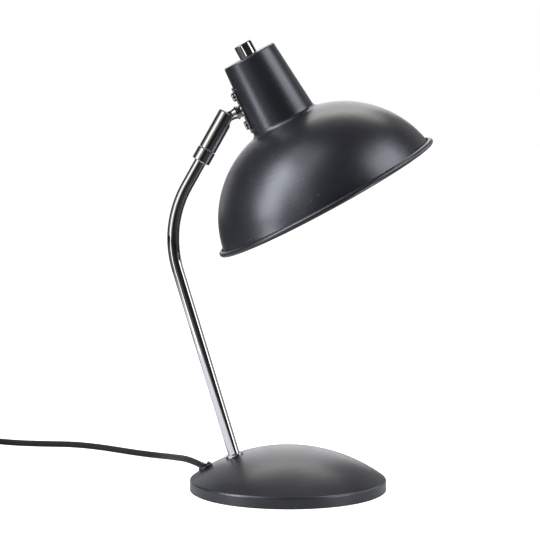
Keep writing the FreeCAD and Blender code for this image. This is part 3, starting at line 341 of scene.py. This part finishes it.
def sleeved_pins():
    """Nickel plated pins with a black moulded sleeve up to the grip."""
    made, tree = new_material("sleeved_pins")
    place = add(tree, "ShaderNodeTexCoord").outputs["Object"]
    parts = add(tree, "ShaderNodeSeparateXYZ", {"Vector": place})
    sleeve_end = (plug_start.y - plug_length - plug_pin_sleeve) * metre
    sleeve = add(tree, "ShaderNodeMath", {0: parts.outputs["Y"], 1: sleeve_end}, operation="GREATER_THAN")
    tint = add(tree, "ShaderNodeMix",
               {"Factor": sleeve.outputs[0], 6: linear(nickel_colour), 7: linear(plug_black)},
               data_type="RGBA")
    metal = add(tree, "ShaderNodeMapRange", {"Value": sleeve.outputs[0], "To Min": 1.0, "To Max": 0.0})
    rough = add(tree, "ShaderNodeMapRange", {"Value": sleeve.outputs[0], "To Min": 0.22, "To Max": 0.45})
    shader = add(tree, "ShaderNodeBsdfPrincipled",
                 {"Base Color": tint.outputs[2], "Metallic": metal.outputs["Result"],
                  "Roughness": rough.outputs["Result"]})
    add(tree, "ShaderNodeOutputMaterial", {"Surface": shader.outputs["BSDF"]})
    return made


def pale_table():
    """White matt laminate with a faint grain. Painted shade darkens it where a small table would end, and
    its pale part glows faintly in reflections as painted light.
    """
    made, tree = new_material("pale_table_top")
    place = add(tree, "ShaderNodeTexCoord").outputs["Object"]
    away = add(tree, "ShaderNodeVectorMath", {0: place}, operation="LENGTH")
    far = add(tree, "ShaderNodeMapRange",
              {"Value": away.outputs["Value"], "From Min": table_dark_start * metre,
               "From Max": table_dark_full * metre})
    parts = add(tree, "ShaderNodeSeparateXYZ", {"Vector": place})
    beside = add(tree, "ShaderNodeMath", {0: parts.outputs["X"]}, operation="ABSOLUTE")
    behind = add(tree, "ShaderNodeMath",
                 {0: beside.outputs[0], 1: -wedge_slope, 2: parts.outputs["Y"]}, operation="MULTIPLY_ADD")
    outside = add(tree, "ShaderNodeMapRange",
                  {"Value": behind.outputs[0], "From Min": wedge_start * metre,
                   "From Max": wedge_full * metre, "To Min": 1.0, "To Max": 0.0})
    # Painted shade: dark away from the lamp, except in the wedge straight behind it
    dark = add(tree, "ShaderNodeMath", {0: far.outputs["Result"], 1: outside.outputs["Result"]},
               operation="MULTIPLY")
    tint = add(tree, "ShaderNodeMix",
               {"Factor": dark.outputs[0], 6: linear(table_pale), 7: linear(table_painted_shade)}, data_type="RGBA")
    # The camera sees the table as white as the backdrop; other rays see the pale part glow faintly, a
    # painted light
    seen = add(tree, "ShaderNodeLightPath").outputs["Is Camera Ray"]
    glow = add(tree, "ShaderNodeMapRange",
               {"Value": dark.outputs[0], "To Min": table_glow, "To Max": 0.0})
    lit = add(tree, "ShaderNodeMath", {0: seen, 1: glow.outputs["Result"]}, operation="MAXIMUM")
    grain = add(tree, "ShaderNodeTexNoise", {"Vector": place, "Scale": 1 / (table_grain * metre)})
    bump = add(tree, "ShaderNodeBump",
               {"Height": grain.outputs["Fac"], "Strength": 0.02, "Distance": table_grain_depth * metre})
    shader = add(tree, "ShaderNodeBsdfPrincipled",
                 {"Base Color": tint.outputs[2], "Roughness": 0.9, "Emission Color": linear("#ffffff"),
                  "Emission Strength": lit.outputs[0], "Normal": bump.outputs["Normal"]})
    add(tree, "ShaderNodeOutputMaterial", {"Surface": shader.outputs["BSDF"]})
    return made


# Camera, lights and floor
def make_camera():
    """Camera at the photograph's place."""
    camera = bpy.data.objects.new("camera", bpy.data.cameras.new("camera"))
    bpy.context.scene.collection.objects.link(camera)
    camera.location = camera_place * metre
    camera.rotation_euler = (math.pi / 2 - camera_dip, 0, 0)
    camera.data.lens = camera_lens
    camera.data.sensor_width = camera_sensor
    bpy.context.scene.camera = camera


def make_world():
    """White backdrop for the camera; the lamp reflects a grey one behind it and a dim room elsewhere."""
    world = bpy.data.worlds.new("studio")
    bpy.context.scene.world = world
    world.use_nodes = True
    tree = world.node_tree
    tree.nodes.clear()
    direction = add(tree, "ShaderNodeTexCoord").outputs["Generated"]
    parts = add(tree, "ShaderNodeSeparateXYZ", {"Vector": direction})
    back = add(tree, "ShaderNodeMapRange",
               {"Value": parts.outputs["Y"], "From Min": backdrop_start, "From Max": backdrop_full})
    room = add(tree, "ShaderNodeMix", {"Factor": back.outputs["Result"], 6: room_light, 7: backdrop_light},
               data_type="RGBA")
    seen = add(tree, "ShaderNodeLightPath").outputs["Is Camera Ray"]
    colour = add(tree, "ShaderNodeMix", {"Factor": seen, 6: room.outputs[2], 7: linear("#ffffff")},
                 data_type="RGBA")
    light = add(tree, "ShaderNodeBackground", {"Color": colour.outputs[2]})
    add(tree, "ShaderNodeOutputWorld", {"Surface": light.outputs["Background"]})


def make_floor():
    """Wide table top."""
    mesh = bpy.data.meshes.new("table_top")
    rim = table_reach * metre
    corners = [(-rim, -rim, 0), (rim, -rim, 0), (rim, rim, 0), (-rim, rim, 0)]
    mesh.from_pydata(corners, [], [(0, 1, 2, 3)])
    mesh.materials.append(pale_table())
    floor = bpy.data.objects.new("table_top", mesh)
    bpy.context.scene.collection.objects.link(floor)


def make_soft_box(name, azimuth, elevation, wide, tall, level, colour, pieces,
                  distance=box_distance, aim_height=box_aim_height):
    """Soft box that faces the lamp and lights one group of pieces.

    Azimuth 0 is the camera's side and 90 the right; wide and tall are the degrees that it covers.
    The level is the brightness of its face, so its energy grows with its area.
    """
    turn, rise = math.radians(azimuth), math.radians(elevation)
    away = Vector((math.sin(turn) * math.cos(rise), -math.cos(turn) * math.cos(rise), math.sin(rise)))
    data = bpy.data.lights.new(name, "AREA")
    data.shape = "RECTANGLE"
    data.size = 2 * distance * metre * math.tan(math.radians(wide) * math.cos(rise) / 2)
    data.size_y = 2 * distance * metre * math.tan(math.radians(tall) / 2)
    data.energy = level * math.pi * data.size * data.size_y
    data.color = linear(colour)[:3]
    light = bpy.data.objects.new(name, data)
    light.location = (Vector((0.0, 0.0, aim_height)) + away * distance) * metre
    light.rotation_euler = away.to_track_quat("Z", "Y").to_euler()
    light.visible_camera = False
    light.light_linking.receiver_collection = pieces
    bpy.context.scene.collection.objects.link(light)


def light_lamp():
    """Soft boxes round the lamp; the chrome has dimmer ones, so that its highlights keep clean edges."""
    satin = bpy.data.collections.new("painted_pieces_and_table")
    painted = bpy.data.collections.new("painted_and_plastic_pieces")
    mirror = bpy.data.collections.new("chrome_pieces")
    for piece in bpy.context.scene.objects:
        if piece.type in ("MESH", "CURVE"):
            finishes = [slot.material.name for slot in piece.material_slots if slot.material]
            chromed = "chrome_plate" in finishes
            (mirror if chromed else satin).objects.link(piece)
            if not chromed and piece.name != "table_top":
                painted.objects.link(piece)
    knob = bpy.data.collections.new("knob_piece")
    knob.objects.link(nodes["switch_knob"])
    arm = bpy.data.collections.new("arm_piece")
    arm.objects.link(nodes["arm_tube"])
    cool, warm, white = "#eef3ff", "#fffbf4", "#fcfdff"
    # Name, azimuth, elevation, width, height, level, colour and pieces of each box;
    # a low board's row goes on with its distance and the height that it aims at
    boxes = [
        ("left_box", -68, 24, 23, 48, 14.6, cool, satin),
        ("left_low", -60, -25, 15, 16, 14.0, cool, painted, board_distance, left_board_aim_height),
        ("left_glow", -35, 12, 20, 30, 1.1, cool, satin),
        ("left_edge", -44, 47, 14, 54, 5.0, cool, satin),
        ("left_top", -78, 52, 15, 32, 5.3, cool, satin),
        ("right_box", 73, 44, 49, 27, 8.2, cool, satin),
        ("right_side", 105, 12, 67, 24, 2.4, cool, satin),
        ("right_low", 58, -22, 22, 16, 12.0, cool, painted, board_distance, right_board_aim_height),
        ("back_top", 180, 50, 71, 10, 4.7, warm, satin),
        ("back_panel", 180, 23, 33, 54, 1.9, white, satin),
        ("back_left", -150, 16, 22, 40, 0.62, white, satin),
        ("back_right", 150, 20, 22, 34, 0.2, white, satin),
        ("left_on_chrome", -60, 19, 28, 46, 1.5, white, mirror),
        ("left_glow_on_chrome", -36, 17, 20, 46, 0.25, white, mirror),
        ("side_glow_on_chrome", -86, 19, 22, 46, 0.3, white, mirror),
        ("low_on_knob", -24, -18, 9, 16, 1.9, white, knob, board_distance, knob_board_aim_height),
        ("low_on_arm", -61, -23, 9, 28, 1.9, white, arm, arm_board_distance, arm_board_aim_height),
        ("right_on_chrome", 76, 14, 21, 40, 2.4, white, mirror),
        ("right_side_on_chrome", 118, 7, 60, 24, 0.26, white, mirror),
        ("back_on_chrome", 180, 23, 60, 54, 0.5, white, mirror),
    ]
    for box in boxes:
        make_soft_box(*box)


# Mains cord
def coil_points():
    """The wound part of the cord: turns inwards, a climb, and turns outwards on top."""
    outer = coil_inner_radius + coil_pitch * coil_turns_in
    total = coil_turns_in + coil_climb_turns + coil_turns_out
    points = []
    for k in range(round(total * coil_points_per_turn) + 1):
        turns = k / coil_points_per_turn
        past = turns - coil_turns_in
        radius, height = outer - coil_pitch * turns, 0.0
        if past > coil_climb_turns:
            radius, height = coil_inner_radius + coil_pitch * (past - coil_climb_turns), coil_layer_step
        elif past > 0:
            share = past / coil_climb_turns
            radius = coil_inner_radius - coil_pitch * past * (1 - share)
            height = coil_layer_step * share ** 2 * (3 - 2 * share)
        angle = math.radians(coil_start_angle) + 2 * math.pi * turns
        points.append(coil_centre + Vector((radius * math.cos(angle), radius * math.sin(angle), height)))
    return points


def make_cord():
    """One smooth cord from the bushing through its coil to the plug."""
    points = [cord_exit] + cord_start + coil_points() + cord_end
    data = bpy.data.curves.new("cord", "CURVE")
    data.dimensions = "3D"
    data.bevel_depth = cord_radius * metre
    data.bevel_resolution = 5
    spline = data.splines.new("NURBS")
    spline.points.add(len(points) - 1)
    for knot, point in zip(spline.points, points):
        knot.co = (*(point * metre), 1)
    spline.order_u = 3
    spline.use_endpoint_u = True
    spline.resolution_u = 6
    data.materials.append(textile_braid(cord_length))
    flex = bpy.data.objects.new("flex", data)
    bpy.context.scene.collection.objects.link(flex)
    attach(flex, "stand")
    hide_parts("mains_cord", "mains_cord_coil", "mains_cord_tail")


# Finer pieces
def circle(radius, height, flutes=0, depth=0.0, count=192):
    """Ring of points about Z; flutes draw it in by a depth."""
    ring = []
    for k in range(count):
        turn = 2 * math.pi * k / count
        reach = radius - depth * (0.5 - 0.5 * math.cos(flutes * turn))
        ring.append(Vector((reach * math.cos(turn), reach * math.sin(turn), height)))
    return ring


def make_piece(name, body, replaced, finish, matrix, rings, closed, sharp=35.0):
    """A skin through rings of points in the piece's own axes.

    A closed skin joins its last ring to its first, and an open one is capped. Edges over the sharp
    angle, in degrees, stay crisp.
    """
    count = len(rings[0])
    points = [matrix @ point * metre for ring in rings for point in ring]
    steps = len(rings) if closed else len(rings) - 1
    faces = []
    for row in range(steps):
        low, high = row * count, (row + 1) % len(rings) * count
        for k in range(count):
            after = (k + 1) % count
            faces.append((low + k, low + after, high + after, high + k))
    if not closed:
        faces.append(tuple(reversed(range(count))))
        faces.append(tuple(range(len(points) - count, len(points))))
    mesh = bpy.data.meshes.new(name)
    mesh.from_pydata(points, [], faces)
    mesh.shade_smooth()
    mesh.set_sharp_from_angle(angle=math.radians(sharp))
    mesh.materials.append(finish)
    piece = bpy.data.objects.new(name, mesh)
    bpy.context.scene.collection.objects.link(piece)
    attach(piece, body)
    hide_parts(*replaced)


def framed(origin, axis, side):
    """Matrix of a piece's own axes: Z runs along axis, and X points about to side."""
    third = axis.cross(side).normalized()
    matrix = Matrix((third.cross(axis), third, axis)).transposed().to_4x4()
    matrix.translation = origin
    return matrix


def make_holder_skirt(finish):
    """Fluted skirt of the lampholder with a rounded lip."""
    # Outline as radius, drop and depth of the flutes
    outline = [
        (holder_radius, holder_start, 0.0),
        (holder_radius, holder_start + holder_collar, 0.0),
        (holder_radius, holder_start + holder_collar + flute_fade, flute_depth),
        (holder_radius, holder_end - holder_rim - flute_fade, flute_depth),
        (holder_radius, holder_end - holder_rim, 0.0),
        (holder_radius, holder_end - holder_edge, 0.0),
        (holder_radius - holder_edge_middle, holder_end - holder_edge_middle, 0.0),
        (holder_radius - holder_edge, holder_end, 0.0),
        (holder_mouth + lip_bevel_width, holder_end, 0.0),
        (holder_mouth, holder_end - lip_bevel_height, 0.0),
        (holder_mouth, holder_end - holder_lip, 0.0),
        (holder_bore, holder_end - holder_lip, 0.0),
        (holder_bore, holder_start, 0.0),
    ]
    rings = [circle(radius, drop, flute_count, depth) for radius, drop, depth in outline]
    make_piece("holder_skirt", "head", ["lampholder_body"], finish, head_matrix, rings,
               closed=True)


def make_bulb(finish):
    """Round opal bulb whose neck runs smoothly into the ball."""
    rings = [circle(bulb_neck_radius - bulb_neck_step, bulb_start, count=bulb_points)]
    for k in range(bulb_rings):
        turn = math.pi * (0.5 - 0.5 * math.cos(math.pi * k / bulb_rings))
        drop = bulb_centre - bulb_radius * math.cos(turn)
        radius = bulb_radius * math.sin(turn)
        if drop < bulb_centre:
            radius = (radius ** bulb_blend + bulb_neck_radius ** bulb_blend) ** (1 / bulb_blend)
        if drop > bulb_start and radius > bulb_tip_radius:
            rings.append(circle(radius, drop, count=bulb_points))
    rings.append(circle(bulb_tip_radius, bulb_centre + bulb_radius, count=bulb_points))
    make_piece("bulb_envelope", "head", ["bulb_glass"], finish, head_matrix, rings,
               closed=False)


def make_plug(finish):
    """Moulded plug: a ribbed cord boot that widens into a flat grip with hollowed sides."""
    # Stations as distance, half width, half thickness and squareness, where 2 is round
    stations = [(0.0, 3.4, 3.4, 2.0), (1.0, 3.9, 3.9, 2.0)]
    # One rib as distance and rise, from its front edge over the groove to the next rib
    rib_outline = [(0.0, 0.0), (1.3, 0.0), (1.5, -0.8), (2.5, -0.8), (2.7, rib_growth)]
    for k in range(rib_count):
        for distance, rise in rib_outline:
            reach = rib_radius + rib_growth * k + rise
            stations.append((rib_start + rib_pitch * k + distance, reach, reach, 2.0))
    stations += [
        (19.2, 5.2, 5.0, 2.0),
        (20.6, 6.6, 6.1, 2.4),
        (22.5, 7.9, 6.65, 3.0),
        (26.0, 10.2, 6.8, 3.6),
        (30.0, 12.6, 6.85, 4.2),
        (34.0, 14.5, 6.85, 4.6),
        (36.5, 14.95, 6.85, 4.8),
        (40.0, 14.2, 6.85, 4.8),
        (44.0, 13.3, 6.85, 4.8),
        (48.0, 12.95, 6.85, 4.8),
        (52.0, 12.95, 6.85, 4.8),
        (54.4, 12.95, 6.8, 4.8),
        (55.4, 12.6, 6.5, 4.6),
        (55.9, 12.0, 6.0, 4.4),
        (plug_length, 11.2, 5.4, 4.2),
    ]
    rings = []
    for distance, half_width, half_thickness, square in stations:
        ring = []
        for k in range(plug_points):
            turn = 2 * math.pi * k / plug_points
            x, y = math.cos(turn), math.sin(turn)
            ring.append(Vector((half_width * math.copysign(abs(x) ** (2 / square), x),
                                half_thickness * math.copysign(abs(y) ** (2 / square), y), distance)))
        rings.append(ring)
    matrix = framed(plug_start, Vector((0, -1, 0)), Vector((1, 0, 0)))
    make_piece("plug_grip", "stand", ["plug_body"], finish, matrix, rings,
               closed=False, sharp=50.0)


def whiten_inside(node, finish):
    """White lacquer on the faces of the shade that look inwards, down to the bead."""
    node.data.materials.append(finish)
    for face in node.data.polygons:
        outward = node.matrix_world.to_3x3() @ face.normal
        from_top = node.matrix_world @ face.center / metre - head_matrix.translation
        drop = from_top.dot(head_axis)
        radial = from_top - head_axis * drop
        side = radial.normalized()
        if drop > dome_start_drop:
            from_centre = side * (radial.length - dome_centre_offset) + head_axis * (drop - dome_centre_drop)
            inner = from_centre.length < dome_inner_radius + sheet_half
            inside = inner and drop < white_end_drop and outward.dot(from_centre) < 0
        else:
            wall = outward.dot(side) < -neck_wall_facing
            roof = outward.dot(head_axis) > neck_roof_facing and drop < neck_roof_drop
            inside = wall or roof
        face.material_index = 1 if inside else 0


# Finishes of the pieces
def dress():
    """Give every node its finish, and make the finer pieces."""
    finishes = {
        "black_paint": black_enamel("base_enamel", Vector((0, 0, 0)), Vector((0, 0, 1)), base_mark_depth),
        "chrome": chrome_plate(),
        # Zinc plate on small steel parts: dull silver
        "zinc_steel": plain_finish("zinc_plate", "#b4b6b6", 0.32, metallic=1.0),
        # Raw grey iron from a sand mould: dark, with a coarse skin
        "cast_iron": plain_finish("raw_cast_iron", "#3a3938", 0.7, metallic=0.6, size=2.0, depth=0.2),
        # Die cut foam: dead matt, with fine pores
        "pad_foam": plain_finish("dense_foam", "#2a2224", 0.9, size=0.6, depth=0.1),
        # Moulded plastics: the fine skin of a spark eroded mould
        "white_plastic": plain_finish("moulded_polyamide", "#dedcd2", 0.45),
        "black_plastic": plain_finish("moulded_abs", plug_black, 0.3),
        "holder_plastic": plain_finish("moulded_urea_resin", "#e6e4dc", 0.35),
        # Hook and loop tape: matt and fuzzy
        "tie_plastic": plain_finish("hook_tape", "#1d1d1f", 0.8, size=0.7, depth=0.15),
        # Turned nylon: milky and waxy
        "nylon": plain_finish("turned_nylon", "#dedacb", 0.4),
        # Only the stretch inside the base keeps this braid; it has no UVs, so the length is nominal
        "cord_textile": textile_braid(1.0),
        # Extruded sheath of the inner cables: smooth, with a dull shine
        "lead_sheath": plain_finish("pvc_sheath", "#1c1c1e", 0.45),
        # Stamped contacts: bright, with the soft shine of rolled sheet
        "brass": plain_finish("stamped_brass", "#c9a255", 0.28, metallic=1.0),
        "nickel": plain_finish("nickel_plate", nickel_colour, 0.25, metallic=1.0),
        # Glazed insulator: glassy white
        "ceramic": plain_finish("glazed_steatite", "#f0eee6", 0.2),
        # Glass coated inside: milky, with a soft gleam
        "bulb_glass": plain_finish("opal_glass", "#f6f4ee", 0.35),
    }
    for row in frame["record"]["subparts"]:
        for slot in nodes[row["node"]].material_slots:
            slot.material = finishes[row["material_slot"]]
    shade = nodes["shade"]
    shade.material_slots[0].material = black_enamel("shade_enamel", head_matrix.translation, head_axis,
                                                    shade_mark_depth)
    # Sprayed lacquer inside the shade: white, and a little glossier than the outside
    whiten_inside(shade, plain_finish("white_lacquer", "#eceae4", 0.3))
    nodes["plug_pins"].material_slots[0].material = sleeved_pins()
    make_holder_skirt(finishes["holder_plastic"])
    make_bulb(finishes["bulb_glass"])
    make_plug(finishes["black_plastic"])


head_axis = -Vector(joints["switch_turn"]["axis"]).normalized()
head_matrix = framed(Vector(joints["switch_turn"]["pos_m"]) / metre, head_axis, Vector((1, 0, 0)))

bpy.context.scene.view_settings.view_transform = "Standard"
make_camera()
make_world()
make_floor()
dress()
make_cord()
light_lamp()
